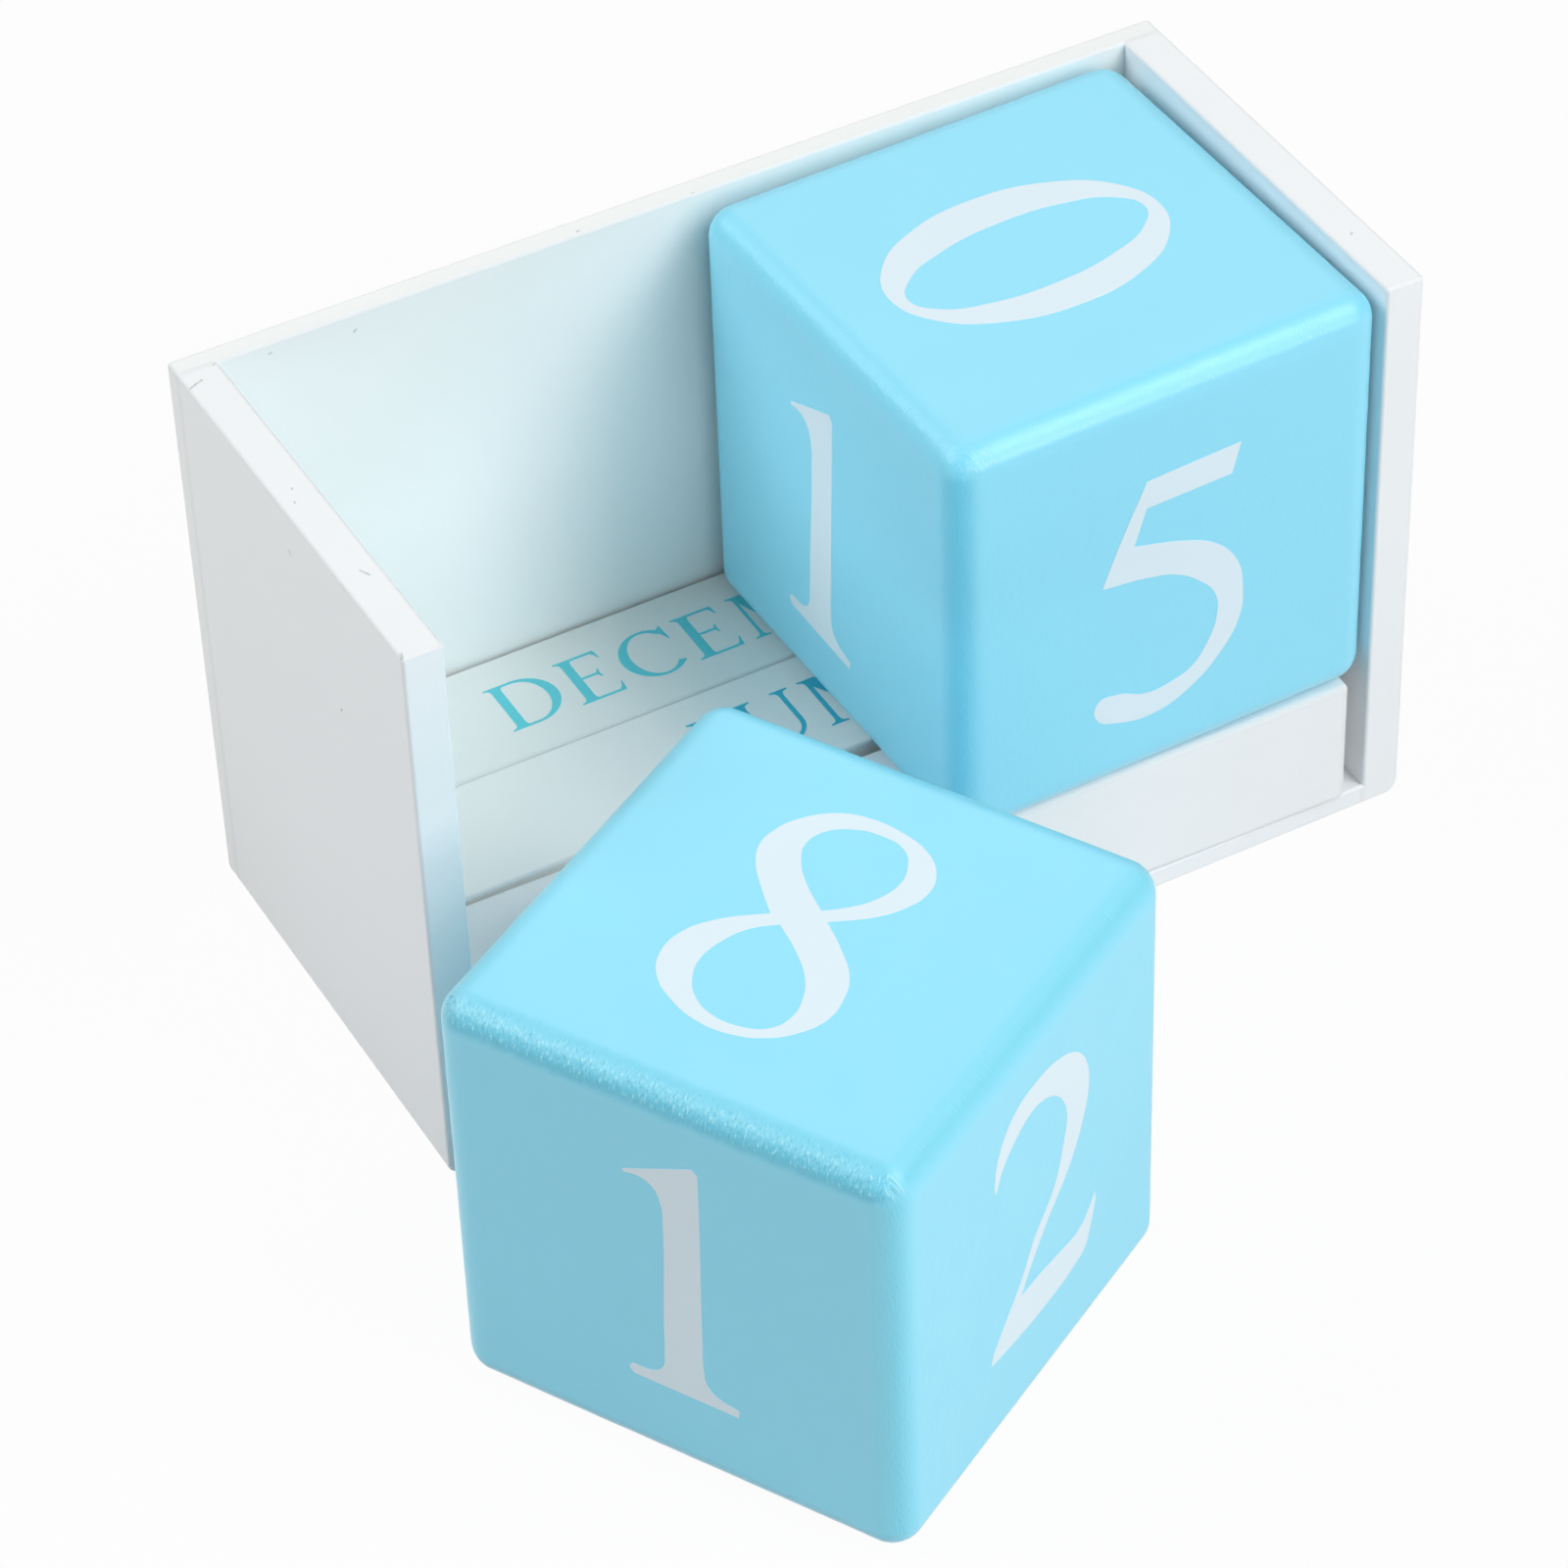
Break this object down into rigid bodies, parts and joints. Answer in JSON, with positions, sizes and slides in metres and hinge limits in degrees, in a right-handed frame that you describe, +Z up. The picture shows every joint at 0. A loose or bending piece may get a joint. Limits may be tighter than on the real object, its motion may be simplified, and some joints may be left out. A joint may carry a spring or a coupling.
{
  "type": "block desk calendar",
  "caption": "Perpetual block calendar: an open-fronted tray of thin boards holds loose month bars and number cubes, which are lifted out, turned and put back to show the date.",
  "frame": {"origin": "middle of the flat underside of the tray, on the table", "axes": "+X to the right along the tray's width, +Y from the open front to the back board, +Z up"},
  "size_m": [0.1227, 0.1182, 0.0683],
  "materials": {
    "white_board": "satin white paint on thin boards",
    "white_bar": "satin white paint on square wooden bars",
    "blue_cube": "satin sky-blue paint on solid wood blocks",
    "pin_steel": "bright drawn wire",
    "numeral_print": "thin pale printed film",
    "month_print": "thin teal printed film"
  },
  "bodies": {
    "tray": {"base_panel": "white_board", "back_panel": "white_board", "left_side_panel": "white_board", "right_side_panel": "white_board", "back_to_left_side_brads": "pin_steel", "back_to_right_side_brads": "pin_steel", "back_to_base_brads": "pin_steel", "left_side_to_base_brads": "pin_steel", "right_side_to_base_brads": "pin_steel"},
    "month_bar_rear": {"month_bar_rear": "white_bar"},
    "month_bar_middle": {"month_bar_middle": "white_bar"},
    "month_bar_front": {"month_bar_front": "white_bar"},
    "number_cube_in_tray": {"number_cube_in_tray": "blue_cube"},
    "number_cube_on_table": {"number_cube_on_table": "blue_cube"}
  },
  "joints": [
    {"name": "rear_bar_lift", "type": "slide", "parent": "tray", "child": "month_bar_rear", "axis": [0, 0, 1], "range_m": [0, 0.068]},
    {"name": "middle_bar_lift", "type": "slide", "parent": "month_bar_rear", "child": "month_bar_middle", "axis": [0, 0, 1], "range_m": [0, 0.068]},
    {"name": "front_bar_lift", "type": "slide", "parent": "month_bar_middle", "child": "month_bar_front", "axis": [0, 0, 1], "range_m": [0, 0.068]},
    {"name": "tray_cube_lift", "type": "slide", "parent": "month_bar_front", "child": "number_cube_in_tray", "axis": [0, 0, 1], "range_m": [0, 0.053]},
    {"name": "table_cube_lift", "type": "slide", "parent": "tray", "child": "number_cube_on_table", "axis": [0, 0, 1], "range_m": [0, 0.07]}
  ]
}
